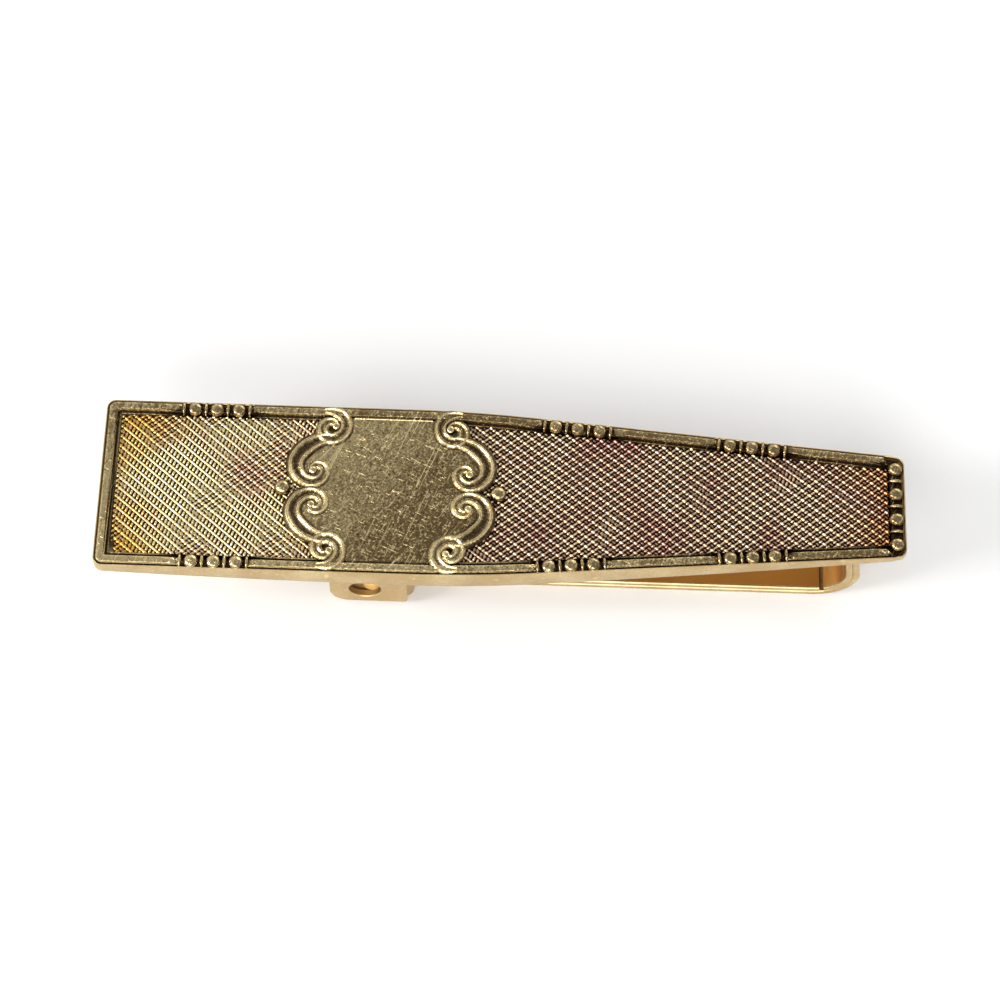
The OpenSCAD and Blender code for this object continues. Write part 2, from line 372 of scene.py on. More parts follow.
def antiqueGilt(name):
    # Olive bronze on the raised work, dark oxide in the recesses, bright where it rubs; with a
    # painted light gradient across the face and a painted shade band round the foot of raised work.
    look = antiques[name]
    material, bench, where = startMetal(name)
    x, y, height = bench.split(where)
    steep, slanted = wear["scratchTurns"]
    along, crossed = wear["fleckTurns"]
    grain = noise(bench, where, 2.4, 6, (0.5, 1.6, 1), wear["grainTurn"])
    mottle = noise(bench, where, 0.45, 6)
    speck = noise(bench, where, 7.5, 3)
    lines = scratches(bench, where, steep, 1.0, 0.66) \
        + scratches(bench, where, slanted, 0.8, 0.68)
    flecks = noise(bench, where, 3.2, 3, (1.9, 0.42, 1), along)
    nicks = noise(bench, where, 3.0, 2, (2.2, 0.3, 1), crossed)
    worn = (above(flecks, 0.6, 13.0) + above(nicks, 0.66, 14.0)).clamp()
    deep = ((wear["deepFrom"] - height) * 9.0 + (mottle - 0.5) * 0.5).clamp()
    # painted shade: a dark band at one height, round the foot of raised work and in hollows at that
    # height, where shade falls
    shadeLineHeight, shadeLineFall = look["foot"]
    foot = (1.25 - bench.maths("ABSOLUTE", height - shadeLineHeight) * shadeLineFall).clamp()
    oxideAndShade = bench.maths("MAXIMUM", deep, foot * 0.9)
    rubbed = ((height - wear["rubbedFrom"]) * 10.0 + (mottle - 0.5) * 0.8).clamp()
    # painted light: the tone falls along x and y, lighter towards the side the light comes from
    paintedLight = (x - look["centre"]) * look["paintedLightX"] + y * look["paintedLightY"]
    tone = ((mottle - 0.5) * look["cloud"] + (grain - 0.5) * look["grain"]
            + (speck - 0.5) * look["speck"] + look["tone"] - paintedLight).clamp()
    base = bench.mix(tone, finishes["bronzeDark"], finishes["bronze"])
    base = bench.mix(above(speck, 0.57, 10.0) * 0.7, base, finishes["worn"])
    base = bench.mix(worn * look["flecks"] * 0.8, base, finishes["worn"])
    base = bench.mix(((0.41 - speck) * 9.0).clamp() * 0.6, base, finishes["patinaAndShade"])
    base = bench.mix(rubbed * look["rubbed"], base, finishes["worn"])
    # dark oxide in the low parts together with the painted shade band at the foot of raised work
    base = bench.mix(oxideAndShade * 0.94, base, finishes["patinaAndShade"])
    base = bench.mix(lines.clamp() * look["lines"] * 0.8, base, finishes["worn"])
    rough = look["rough"] + grain * 0.16 + oxideAndShade * 0.3
    bump = grain * 0.5 + speck * look["speck"] * 0.35 + worn * 0.5 - lines * 0.4
    return endMetal(material, bench, base, rough, bump, 0.55, 0.05)


# The woven ground's colours. Clear is the share of the relief that stays dark, and steep
# is how fast the crest's colour takes over above it.
tints = {
    "wovenWide": {"peak": colour(250, 230, 172), "other": colour(222, 176, 146),
                  "warm": colour(232, 182, 92), "valley": colour(46, 26, 12),
                  "clear": 0.36, "steep": 2.9},
    "wovenLong": {"peak": colour(255, 226, 184), "other": colour(214, 164, 146),
                  "warm": colour(222, 146, 70), "valley": colour(44, 22, 14),
                  "clear": 0.46, "steep": 2.9},
}
warmFrom = {"x": 20.5, "gainX": 0.2, "y": 3.2, "gainY": 0.16}


def wovenGilt(name):
    # Pale gold on the crests of the weave, brown in its hollows, warmer at the ends.
    tint = tints[name]
    material, bench, where = startMetal(name)
    x, y, height = bench.split(where)
    mottle = noise(bench, where, 0.4, 5)
    cloud = noise(bench, where, 0.22, 3, (1, 1, 1), 2.0)
    fine = noise(bench, where, 8.0, 3)
    rise = ((height - weave["floor"]) / weave["relief"]).clamp()
    ends = (bench.maths("ABSOLUTE", x) - warmFrom["x"]) * warmFrom["gainX"] \
        + (bench.maths("ABSOLUTE", y) - warmFrom["y"]) * warmFrom["gainY"]
    crest = bench.mix(above(cloud, 0.44, 4.0), tint["peak"], tint["other"])
    crest = bench.mix((ends + (mottle - 0.5) * 1.2).clamp(), crest, tint["warm"])
    depth = ((rise - tint["clear"]) * tint["steep"] + (fine - 0.5) * 0.6).clamp()
    base = bench.mix(depth, tint["valley"], crest)
    return endMetal(material, bench, base, 0.26 + fine * 0.14, fine, 0.35, 0.02)


# Where painted bounce light and shade turn the lever amber, under the plate's shade and the warm
# light bounced between gilt faces: inside its side edges, above its outer layer, and short of the
# nose's far end.
paintedBounceAmberPart = {"halfWidth": 2.88, "above": 0.82, "before": 22.5}


def satinGilt(name, tone, dark, grainTurn=0.0, paintedBounce=False):
    # Pale satin gilding with a fine stipple and short brush marks, with painted amber bounce light
    # and shade inside the lever's channel when asked.
    material, bench, where = startMetal(name)
    stipple = noise(bench, where, 6.5, 5)
    brush = noise(bench, where, 2.0, 5, (2, 0.2, 0.2), grainTurn)
    cloud = noise(bench, where, 0.35, 4)
    nick = scratches(bench, where, grainTurn + radians(12), 1.1, 0.68)
    base = bench.mix(((cloud - 0.35) * 1.6 + (stipple - 0.5) * 1.1).clamp(), dark, tone)
    base = bench.mix(nick * 0.4, base, finishes["worn"])
    # painted bounce light and shade: amber where the plate shades the lever's channel and warm light
    # bounces between the gilt faces
    if paintedBounce:
        x, y, z = bench.split(where)
        inside = ((paintedBounceAmberPart["halfWidth"] - bench.maths("ABSOLUTE", y)) * 12.0).clamp() \
            * above(z, paintedBounceAmberPart["above"], 20.0) * ((paintedBounceAmberPart["before"] - x) * 8.0).clamp()
        base = bench.mix(inside * (cloud * 0.5 + 0.6).clamp(), base, finishes["paintedBounceAmber"])
    rough = 0.3 + stipple * 0.2 + cloud * 0.08
    bump = stipple * 0.7 + brush * 0.5 - nick * 0.4
    return endMetal(material, bench, base, rough, bump, 0.3, 0.03)


def springSteel():
    material, bench, where = startMetal("springSteel")
    drawn = noise(bench, where, 5.0, 4, (1, 0.25, 1))
    base = bench.mix(drawn, finishes["steelDark"], finishes["steel"])
    return endMetal(material, bench, base, 0.2 + drawn * 0.2, drawn, 0.2, 0.02)


def startTree(name, sizes):
    # A node group with geometry in and out and one named input per size.
    tree = bpy.data.node_groups.new(name, "GeometryNodeTree")
    face = tree.interface
    face.new_socket("Geometry", in_out="INPUT", socket_type="NodeSocketGeometry")
    for label in sizes:
        face.new_socket(label, in_out="INPUT", socket_type="NodeSocketFloat")
    face.new_socket("Finish", in_out="INPUT", socket_type="NodeSocketMaterial")
    face.new_socket("Geometry", in_out="OUTPUT", socket_type="NodeSocketGeometry")
    bench = Bench(tree)
    given = {wire.socket.name: wire for wire in bench.outputs(bench.add("NodeGroupInput"))}
    return tree, bench, given


def endTree(bench, geometry, finish):
    real = bench.add("GeometryNodeRealizeInstances", {}, {0: geometry})
    coated = bench.add("GeometryNodeSetMaterial", {}, {"Geometry": real, "Material": finish})
    bench.add("NodeGroupOutput", {}, {0: coated})


def grow(piece, tree, values, smoothAngle=50):
    # Runs a tree on a piece and keeps the result as its plain mesh.
    modifier = piece.modifiers.new(tree.name, "NODES")
    modifier.node_group = tree
    for item in tree.interface.items_tree:
        if item.in_out == "INPUT" and item.name in values:
            modifier[item.identifier] = values[item.name]
    view = bpy.context.evaluated_depsgraph_get()
    mesh = bpy.data.meshes.new_from_object(piece.evaluated_get(view))
    piece.modifiers.clear()
    piece.data = mesh
    shadeSmooth(mesh, smoothAngle)


# Along and across are waves per millimetre; ribbing shifts a panel from basket cells
# towards slanted ridges.
weave = {
    "floor": 7.2,
    "relief": 0.24,
    "step": 0.052,
    "edge": 0.98,
    "bottom": 7.16,
    "overlap": 0.42,
    "round": 0.6,
    "basket": {"strands": 0.78, "corners": 0.09, "foot": 0.1},
    "ribs": {"sharp": 4.0, "ridge": 0.84, "square": 0.94, "flat": 0.4},
    "wander": {"scale": 260.0, "gain": 6.0},
    "wide": {"x0": 1.0, "x1": 15.7, "along": 1.155, "across": 1.39, "ribbing": 0.52,
             "metal": "wovenWide"},
    "middle": {"x0": 21.8, "x1": 36.6, "along": 1.105, "across": 1.445, "ribbing": -0.55,
               "metal": "wovenLong"},
    "nose": {"x0": 36.6, "x1": 50.9, "along": 1.11, "across": 1.45, "ribbing": -0.55,
             "metal": "wovenLong"},
}


def weaveTree():
    sizes = ["Waves Along", "Waves Across", "Relief", "Ribbing", "Floor"]
    tree, bench, given = startTree("wovenGround", sizes)
    x, y, z = bench.split(bench.add("GeometryNodeInputPosition"))
    turn = 2 * pi / mm
    along = x * given["Waves Along"] * turn
    across = y * given["Waves Across"] * turn
    u = across + along
    v = across - along
    evenU, evenV = u.cos(), v.cos()
    parity = evenU * evenV * weave["overlap"]   # which strand lies on top
    strandU = (u * 2.0).swing() ** weave["round"]
    strandV = (v * 2.0).swing() ** weave["round"]
    over = strandU * (parity + (1 - weave["overlap"]))
    under = strandV * ((1 - weave["overlap"]) - parity)
    cells = weave["basket"]
    basket = bench.maths("MAXIMUM", over, under) * cells["strands"] \
        + (evenU + evenV) * cells["corners"] + cells["foot"]
    ribs = weave["ribs"]
    ridge = (u.swing() ** ribs["sharp"]) * ribs["ridge"]
    squares = ((1 - u.swing()) ** weave["round"]) * ((v * 2.0 - u).swing() ** ribs["flat"]) \
        * ribs["square"]
    ribbed = bench.maths("MAXIMUM", ridge, squares)
    wander = bench.add("ShaderNodeTexNoise", {}, {"Scale": weave["wander"]["scale"],
                                                  "Detail": 1.0})
    mixed = (given["Ribbing"] + (wander - 0.5) * weave["wander"]["gain"]).clamp()
    height = (basket * (1 - mixed) + ribbed * mixed).clamp() * given["Relief"]
    raised = bench.maths("GREATER_THAN", z, given["Floor"])
    offset = bench.add("ShaderNodeCombineXYZ", {}, {2: height})
    moved = bench.add("GeometryNodeSetPosition", {}, {"Geometry": given["Geometry"],
                                                      "Selection": raised, "Offset": offset})
    endTree(bench, moved, given["Finish"])
    return tree


def panelSlab(name, part):
    # A closed slab whose top is a fine grid that follows the plate's taper.
    step = weave["step"]
    columns = round((part["x1"] - part["x0"]) / step) + 1
    rows = round(2 * (halfWidth(part["x0"]) - weave["edge"]) / step) + 1
    verts = []
    for i in range(columns):
        x = part["x0"] + (part["x1"] - part["x0"]) * i / (columns - 1)
        half = halfWidth(x) - weave["edge"]
        verts += [(x, -half + 2 * half * j / (rows - 1), weave["floor"]) for j in range(rows)]
    low = len(verts)
    for i in range(columns):
        x, y, _ = verts[i * rows]
        verts += [(x, y, weave["bottom"]), (x, -y, weave["bottom"])]
    faces = []
    for i in range(columns - 1):
        a = i * rows
        for j in range(rows - 1):
            faces.append((a + j, a + rows + j, a + rows + j + 1, a + j + 1))
        b = low + 2 * i
        faces.append((a, b, b + 2, a + rows))
        faces.append((a + rows - 1, a + 2 * rows - 1, b + 3, b + 1))
        faces.append((b, b + 1, b + 3, b + 2))
    last = (columns - 1) * rows
    end = low + 2 * (columns - 1)
    faces.append(tuple(range(rows)) + (low + 1, low))
    faces.append(tuple(range(last + rows - 1, last - 1, -1)) + (end, end + 1))
    return makeObject(name, verts, faces)


def makePanels():
    tree = weaveTree()
    pieces = []
    for key in ("wide", "middle", "nose"):
        part = weave[key]
        piece = panelSlab("panel_" + key, part)
        grow(piece, tree, {"Waves Along": part["along"], "Waves Across": part["across"],
                           "Relief": weave["relief"] * mm, "Ribbing": part["ribbing"],
                           "Floor": (weave["floor"] - 0.02) * mm,
                           "Finish": metals[part["metal"]]}, 80)
        fixNormals(piece)
        pieces.append((piece, part["metal"]))
    return pieces


rim = {
    "profile": [(0.17, -0.49), (0.17, -0.14), (0.19, -0.07), (0.24, -0.01), (0.3, 0.01),
                (0.6, 0.01), (0.66, -0.01), (0.71, -0.08), (0.76, -0.27), (0.84, -0.3),
                (0.88, -0.22), (0.93, -0.19), (0.98, -0.22), (1.02, -0.34), (1.06, -0.49)],
    "noseExtra": 0.22,   # how much wider the rim is at the nose
    "extraOver": (0.3, 0.7),   # the insets over which that comes in
    "groups": [(7.2, 1), (7.7, -1), (30.75, 1), (30.5, -1), (42.1, 1), (42.1, -1)],
    "lean": 0.084,
    "pitch": 1.43,
    "inset": 0.5,
    "bead": 0.49,
    "beadTall": 0.34,
    "beadHeight": 7.43,
    "bar": (0.15, 0.5, 0.32),
    "sink": 0.3,
    "sinkBlend": 0.1,
    "nosePitch": 1.8,
    "noseAt": 51.4,
    "noseSink": 1.3,
}


def rimSink(x, y):
    # The rim is let down where beads sit in it.
    deep = 0
    inner = 1.5 * rim["pitch"]
    for centre, side in rim["groups"]:
        if y * side > 0:
            away = smoothStep(inner, inner + 2 * rim["sinkBlend"], abs(x - centre))
            deep = max(deep, 1 - away)
    if x > plate["length"] - rim["noseSink"]:
        deep = 1
    return deep * rim["sink"]


def makeRim():
    shell = Shell()
    rings = []
    floor = plate["trayFloor"] + 0.01
    for inset, drop in rim["profile"]:
        extra = rim["noseExtra"] * smoothStep(*rim["extraOver"], inset)
        level = plate["rimTop"] + drop
        rings.append(outline(inset, lambda x, y: max(floor, level - rimSink(x, y)), extra))
    shell.loft(rings)
    return shell.piece("rim")


def beadTree():
    sizes = ["Bead", "Bead Tall", "Bar Thick", "Bar Long", "Bar Tall"]
    tree, bench, given = startTree("rimBeads", sizes)
    isBar = bench.add("GeometryNodeInputNamedAttribute", {"data_type": "FLOAT"}, {"Name": "bar"})
    turn = bench.add("GeometryNodeInputNamedAttribute", {"data_type": "FLOAT"}, {"Name": "turn"})
    ball = bench.add("GeometryNodeMeshUVSphere", {}, {"Segments": 20, "Rings": 12, "Radius": 1.0})
    beadSize = bench.add("ShaderNodeCombineXYZ", {}, {0: given["Bead"], 1: given["Bead"],
                                                      2: given["Bead Tall"]})
    barSize = bench.add("ShaderNodeCombineXYZ", {}, {0: given["Bar Thick"], 1: given["Bar Long"],
                                                     2: given["Bar Tall"]})
    spin = bench.add("ShaderNodeCombineXYZ", {}, {2: turn})
    sets = []
    for chosen, size in ((1 - isBar, beadSize), (isBar, barSize)):
        pick = bench.maths("GREATER_THAN", chosen, 0.5)
        sets.append(bench.add("GeometryNodeInstanceOnPoints", {},
                              {"Points": given["Geometry"], "Selection": pick, "Instance": ball,
                               "Rotation": spin, "Scale": size}))
    both = bench.add("GeometryNodeJoinGeometry", {}, {0: sets})
    endTree(bench, both, given["Finish"])
    return tree


def makeBeads():
    # Each group is a bar, then a bead and a bar three times; the nose starts with a bead.
    spots = []   # x, y, turn, whether it is a bar
    for centre, side in rim["groups"]:
        lean = -side * rim["lean"] if centre > plate["taperStart"] else 0
        for k in range(7):
            x = centre + (k - 3) * rim["pitch"] / 2
            spots.append((x, side * (halfWidth(x) - rim["inset"]), lean, (k + 1) % 2))
    for k in range(7):
        spots.append((rim["noseAt"], (k - 3) * rim["nosePitch"] / 2, pi / 2, k % 2))
    piece = makeObject("beads", [(x, y, rim["beadHeight"]) for x, y, _, _ in spots], [])
    for name, column in (("turn", 2), ("bar", 3)):
        layer = piece.data.attributes.new(name, "FLOAT", "POINT")
        layer.data.foreach_set("value", [float(spot[column]) for spot in spots])
    thick, long, tall = rim["bar"]
    grow(piece, beadTree(),
         {"Bead": rim["bead"] * mm, "Bead Tall": rim["beadTall"] * mm, "Bar Thick": thick * mm,
          "Bar Long": long * mm, "Bar Tall": tall * mm, "Finish": metals["beads"]})
    return piece


cartouche = {
    "centre": 18.75,
    "top": 7.555,
    "side": {"start": (3.99, 3.62), "heading": -6,
             "arcs": [(2.7, -54), (1.27, -105), (0.77, -103), (0.46, -100), (0.29, -100)],
             "widths": [(0, 0.3), (0.22, 0.47), (0.45, 0.42), (0.65, 0.34), (0.85, 0.26), (1, 0.2)]},
    "corner": {"start": (4.49, 5.54), "heading": 178,
               "arcs": [(2.9, 12), (0.99, 155), (0.64, 165), (0.38, 110)],
               "widths": [(0, 0.12), (0.18, 0.33), (0.6, 0.33), (0.85, 0.26), (1, 0.2)]},
    "section": [(-1.5, -0.5), (-1.5, -0.24), (-1.1, -0.18), (-0.98, -0.04), (-0.86, 0),
                (-0.72, -0.02), (-0.56, -0.16), (0, -0.23), (0.56, -0.16), (0.72, -0.02),
                (0.86, 0), (0.98, -0.04), (1.1, -0.18), (1.5, -0.24), (1.5, -0.5)],
    "footDrop": -0.5,   # the section's two ends, which go down to the seat
    "crest": 7.77,
    "relief": (0.35, 0.85),   # its least and its most, growing with the width
    "bulb": {"sink": 0.2, "radius": 0.3, "tall": 0.24},
    "button": {"x": 6.97, "height": 7.36, "radius": 0.55, "tall": 0.46},
    "ground": {"x": 3.6, "y": 4.4, "height": 7.4, "radius": 0.85, "tall": 0.03},
    "fillet": {"half": 2.55, "inset": 0.76,
               "section": [(-0.13, 7.3), (-0.13, 7.56), (-0.07, 7.61), (0.07, 7.61),
                           (0.13, 7.56), (0.13, 7.3)]},
    "field": [(0, 5.1), (2.75, 5.1), (2.95, 4.4), (3.35, 3.75), (4.1, 3.5), (5.2, 3.15),
              (5.95, 2.3), (6.05, 1.3), (5.6, 0.45), (5.45, 0)],
}


def walkArcs(scroll, stepLength=0.06):
    # Follows a chain of arcs and gives points, headings and the share walked.
    x, y = scroll["start"]
    heading = radians(scroll["heading"])
    total = sum(r * abs(radians(a)) for r, a in scroll["arcs"])
    walked = 0
    points = [(x, y, heading, 0)]
    for radius, sweep in scroll["arcs"]:
        arc = radians(sweep)
        side = 1 if arc > 0 else -1
        centreX = x - side * radius * sin(heading)
        centreY = y + side * radius * cos(heading)
        steps = max(3, round(radius * abs(arc) / stepLength))
        for k in range(1, steps + 1):
            h = heading + arc * k / steps
            x = centreX + side * radius * sin(h)
            y = centreY - side * radius * cos(h)
            points.append((x, y, h, (walked + radius * abs(arc) * k / steps) / total))
        heading += arc
        walked += radius * abs(arc)
    return points


def between(table, share):
    for (a, va), (b, vb) in zip(table, table[1:]):
        if share <= b:
            return va + (vb - va) * (share - a) / (b - a)
    return table[-1][1]


def addDome(shell, x, y, z, radius, tall, turns=24, levels=8):
    # A low dome on a round wall that stands in the tray.
    rings = []
    for k in range(levels + 1):
        a = pi / 2 * k / levels * 0.94   # just short of the top, which stays flat
        rings.append([(x + radius * cos(a) * cos(2 * pi * i / turns),
                       y + radius * cos(a) * sin(2 * pi * i / turns),
                       z + tall * sin(a)) for i in range(turns)])
    base = [(px, py, plate["seat"]) for px, py, _ in rings[0]]
    shell.loft([base] + rings, around=False)


def addRibbon(shell, scroll, mirrorX, mirrorY):
    # A moulded strip along a scroll's arcs, lower where it is narrow, with a bulb at its end.
    least, most = cartouche["relief"]
    rings = []
    for x, y, heading, share in walkArcs(scroll):
        width = between(scroll["widths"], share)
        ring = []
        for across, drop in cartouche["section"]:
            px = x - across * width * sin(heading)
            py = y + across * width * cos(heading)
            top = cartouche["crest"] + drop * min(most, least + width)
            ring.append((cartouche["centre"] + mirrorX * px, mirrorY * py,
                         top if drop > cartouche["footDrop"] else plate["seat"]))
        rings.append(ring)
    shell.loft(rings, around=False)
    bulb = cartouche["bulb"]
    addDome(shell, cartouche["centre"] + mirrorX * x, mirrorY * y,
            cartouche["crest"] - bulb["sink"], bulb["radius"], bulb["tall"])


def makeScrolls():
    shell = Shell()
    for mirrorX in (-1, 1):
        for mirrorY in (-1, 1):
            for key in ("side", "corner"):
                addRibbon(shell, cartouche[key], mirrorX, mirrorY)
    return shell.piece("scrolls", 60)


def makeButtons():
    # The two small balls at the ends of the cartouche.
    shell = Shell()
    ball = cartouche["button"]
    for side in (-1, 1):
        addDome(shell, cartouche["centre"] + side * ball["x"], 0, ball["height"],
                ball["radius"], ball["tall"])
    return shell.piece("buttons", 60)


def fieldRing(scale, z):
    quarter = cartouche["field"]
    right = quarter + [(x, -y) for x, y in reversed(quarter[:-1])]
    loop = right + [(-x, -y) for x, y in right[1:-1]]
    return [(cartouche["centre"] + x * scale, y * scale, z) for x, y in loop]


def addFillet(shell, side, steps=24):
    # The thin raised line between the rim and the field.
    fillet = cartouche["fillet"]
    rings = []
    for k in range(steps + 1):
        x = cartouche["centre"] + fillet["half"] * (2 * k / steps - 1)
        y = side * (halfWidth(x) - fillet["inset"])
        rings.append([(x, y + across, z) for across, z in fillet["section"]])
    shell.loft(rings, around=False)


def makeField():
    shell = Shell()
    top = cartouche["top"]
    shell.loft([fieldRing(1, plate["seat"]), fieldRing(1, top - 0.03),
                fieldRing(0.995, top)], around=False)
    ground = cartouche["ground"]
    for sideX in (-1, 1):   # the dark ground inside each corner volute
        for sideY in (-1, 1):
            addDome(shell, cartouche["centre"] + sideX * ground["x"], sideY * ground["y"],
                    ground["height"], ground["radius"], ground["tall"])
    for side in (-1, 1):
        addFillet(shell, side)
    return shell.piece("field", 30)


def makeBar():
    top = plate["barTop"]
    shell = Shell()
    rings = [
        outline(plate["tray"], plate["trayFloor"]),
        outline(plate["tray"], top - 0.05),
        outline(plate["tray"] - 0.04, top),
        outline(0.07, top),
        outline(0.02, top - 0.02),
        outline(0, top - 0.07),
        outline(0, lambda x, y: backHeight(x) + 0.1),
        outline(0.03, lambda x, y: backHeight(x) + 0.03),
        outline(0.1, lambda x, y: backHeight(x)),
    ]
    shell.loft(rings, around=False, caps="strips")
    return shell.piece("backing_bar", 35)


bracket = {
    "x0": 14.9, "x1": 19.95, "z0": 0.45, "z1": 5.89, "half": 4.7, "sheet": 0.5,
    "hole": (17.2, 2.21, 1.05), "corners": (1.3, 0.15), "edge": 0.06,
}


def reach(centre, angle, box, corners):
    # Distance from a centre to a rectangle with round corners, along an angle.
    x0, z0, x1, z1 = box
    low, high = 0.0, 12.0
    for _ in range(30):
        mid = (low + high) / 2
        x = centre[0] + mid * cos(angle)
        z = centre[1] + mid * sin(angle)
        left = x < (x0 + x1) / 2
        below = z < (z0 + z1) / 2
        radius = corners[(0 if left else 1) if below else (2 if left else 3)]
        dx = abs(x - (x0 + x1) / 2) - (x1 - x0) / 2 + radius
        dz = abs(z - (z0 + z1) / 2) - (z1 - z0) / 2 + radius
        outside = sqrt(max(dx, 0) ** 2 + max(dz, 0) ** 2) + min(max(dx, dz), 0) - radius > 0
        low, high = (low, mid) if outside else (mid, high)
    return low


def addEar(shell, y0, y1, box, corners, hole, edge, turns=240):
    # A flat ear with a round hole and softened edges, as one closed ring of rings.
    cx, cz, radius = hole

    def ring(inner, shrink, y):
        points = []
        for k in range(turns):
            a = 2 * pi * k / turns
            far = radius + shrink if inner else reach((cx, cz), a, box, corners) - shrink
            points.append((cx + far * cos(a), y, cz + far * sin(a)))
        return points

    sign = 1 if y1 > y0 else -1
    inside, outside = y0 + sign * edge, y1 - sign * edge
    shell.loft([ring(True, 0, inside), ring(True, edge, y0), ring(False, edge, y0),
                ring(False, 0, inside), ring(False, 0, outside), ring(False, edge, y1),
                ring(True, edge, y1), ring(True, 0, outside)])


def addBlock(shell, x0, x1, y0, y1, z0, z1, edge):
    def ring(shrink, z):
        a, b, c, d = x0 + shrink, x1 - shrink, y0 + shrink, y1 - shrink
        return [(a, c, z), (b, c, z), (b, d, z), (a, d, z)]
    shell.loft([ring(edge, z0), ring(0, z0 + edge), ring(0, z1 - edge), ring(edge, z1)],
               around=False)


def makeBracket():
    b = bracket
    shell = Shell()
    low, high = b["corners"]
    for side in (-1, 1):
        addEar(shell, side * (b["half"] - b["sheet"]), side * b["half"],
               (b["x0"], b["z0"], b["x1"], b["z1"]), (low, high, b["edge"], b["edge"]),
               b["hole"], b["edge"])
    inner = b["half"] - b["sheet"] + 0.05
    addBlock(shell, b["x0"], b["x1"], -inner, inner, b["z1"] - b["sheet"], b["z1"],
             b["edge"] / 2)
    return shell.piece("bracket", 35)


# The lever is one strip folded at the thumb end, so its two layers lie a gap apart.
lever = {
    "sheet": 0.43, "gap": 0.05, "tailAt": 3, "tailHalf": 2.6, "armHalf": 3,
    "earStart": 15.1, "earEnd": 20.35, "earHalf": 4.1, "earTop": 3.4, "earRound": 0.6,
    "shoulder": 2.4, "noseCentre": (46.5, 3.0), "noseRadius": 3, "lean": 8, "lift": 0.05,
    "innerEnd": 47.05, "hemStart": -66, "edge": 0.07, "teeth": 8, "toothDepth": 0.16,
    "pivot": (17.65, 2.21, 0.55),
    "earFoot": 0.05, "earEdge": 0.05, "earCorner": 0.9,
    "stripIn": 0.006, "shoulderIn": 0.004,   # so that no two faces lie in one plane
}
lever["stack"] = 2 * lever["sheet"] + lever["gap"]


def leverPath():
    # Centre line of the folded strip: inner layer, thumb fold, outer layer, nose and hem.
    # Each point is x, z, heading x, heading z, part, and how deep the teeth are cut.
    sheet, gap, stack = lever["sheet"], lever["gap"], lever["stack"]
    inner, fold = stack - sheet / 2, (sheet + gap) / 2
    cx, cz = lever["noseCentre"]
    lean = radians(lever["lean"])
    path = []

    def line(x0, x1, z, layer, stepLength=0.5):
        steps = max(2, round(abs(x1 - x0) / stepLength))
        for k in range(steps + 1):
            x = x0 + (x1 - x0) * k / steps
            path.append((x, z, 1 if x1 > x0 else -1, 0, layer, 0))

    lift = lever["lift"]   # the inner layer's end stands up a little from the outer one
    path.append((lever["innerEnd"] + 0.12, inner + lift, -1, 0, "end", 0))
    path.append((lever["innerEnd"] + 0.04, inner + lift, -1, 0, "inner", 0))
    path.append((lever["innerEnd"] - 0.3, inner + lift * 0.6, -1, 0, "inner", 0))
    line(lever["innerEnd"] - 0.9, lever["earStart"] + 1.4, inner, "inner")
    line(lever["earStart"] + 0.6, lever["tailAt"] + stack / 2 + 0.1, inner, "tail")
    for k in range(13):
        a = pi / 2 + pi * k / 12
        path.append((lever["tailAt"] + stack / 2 + fold * cos(a), stack / 2 + fold * sin(a),
                     -sin(a), cos(a), "tail", 0))
    line(lever["tailAt"] + stack / 2 + 0.1, lever["earStart"] - 0.02, sheet / 2, "tail")
    for k in range(33):
        x = lever["earStart"] + (lever["earEnd"] - lever["earStart"]) * (1 - cos(pi * k / 32)) / 2
        path.append((x, sheet / 2, 1, 0, "hinge", 0))
    line(lever["earEnd"] + 0.02, cx - 0.1, sheet / 2, "inner")
    outer = lever["noseRadius"] - sheet / 2
    for k in range(25):
        a = -pi / 2 + (pi / 2 + lean) * k / 24
        path.append((cx + outer * cos(a), cz + outer * sin(a), -sin(a), cos(a), "inner", 0))
    tip = backHeight(cx + lever["noseRadius"] - 0.5) - 0.04
    run = (tip - stack / 2 - cz - lever["noseRadius"] * sin(lean)) / cos(lean)

    def lifted(radial, along):
        return (cx + radial * cos(lean) - along * sin(lean),
                cz + radial * sin(lean) + along * cos(lean))

    for k in range(1, 6):
        path.append((*lifted(outer, run * k / 6), -sin(lean), cos(lean), "inner", 0))
    middle = lever["noseRadius"] - stack / 2
    for k in range(17):
        a = pi * k / 16
        x, z = lifted(middle + fold * cos(a), run + fold * sin(a))
        path.append((x, z, -sin(a + lean), cos(a + lean), "inner", sin(a) ** 2))
    hem = lever["noseRadius"] - stack + sheet / 2 + gap - 0.01
    for k in range(5, 0, -1):
        path.append((*lifted(hem, run * k / 6), sin(lean), -cos(lean), "hem", 0))
    start = radians(lever["hemStart"])
    for k in range(17):
        a = lean + (start - lean) * k / 16
        path.append((cx + hem * cos(a), cz + hem * sin(a), sin(a), -cos(a), "hem", 0))
    return path


def stripHalf(x, layer):
    if layer == "tail":
        return lever["tailHalf"] + (lever["armHalf"] - lever["tailHalf"]) \
            * smoothStep(lever["earStart"] - 0.4, lever["earStart"] + 1.2, x)
    if layer == "hinge":
        near = min(x - lever["earStart"], lever["earEnd"] - x)
        radius = lever["earRound"]
        gap = max(0, radius - near)
        return lever["earHalf"] - lever["stripIn"] - radius + sqrt(radius ** 2 - gap ** 2)
    return lever["armHalf"]


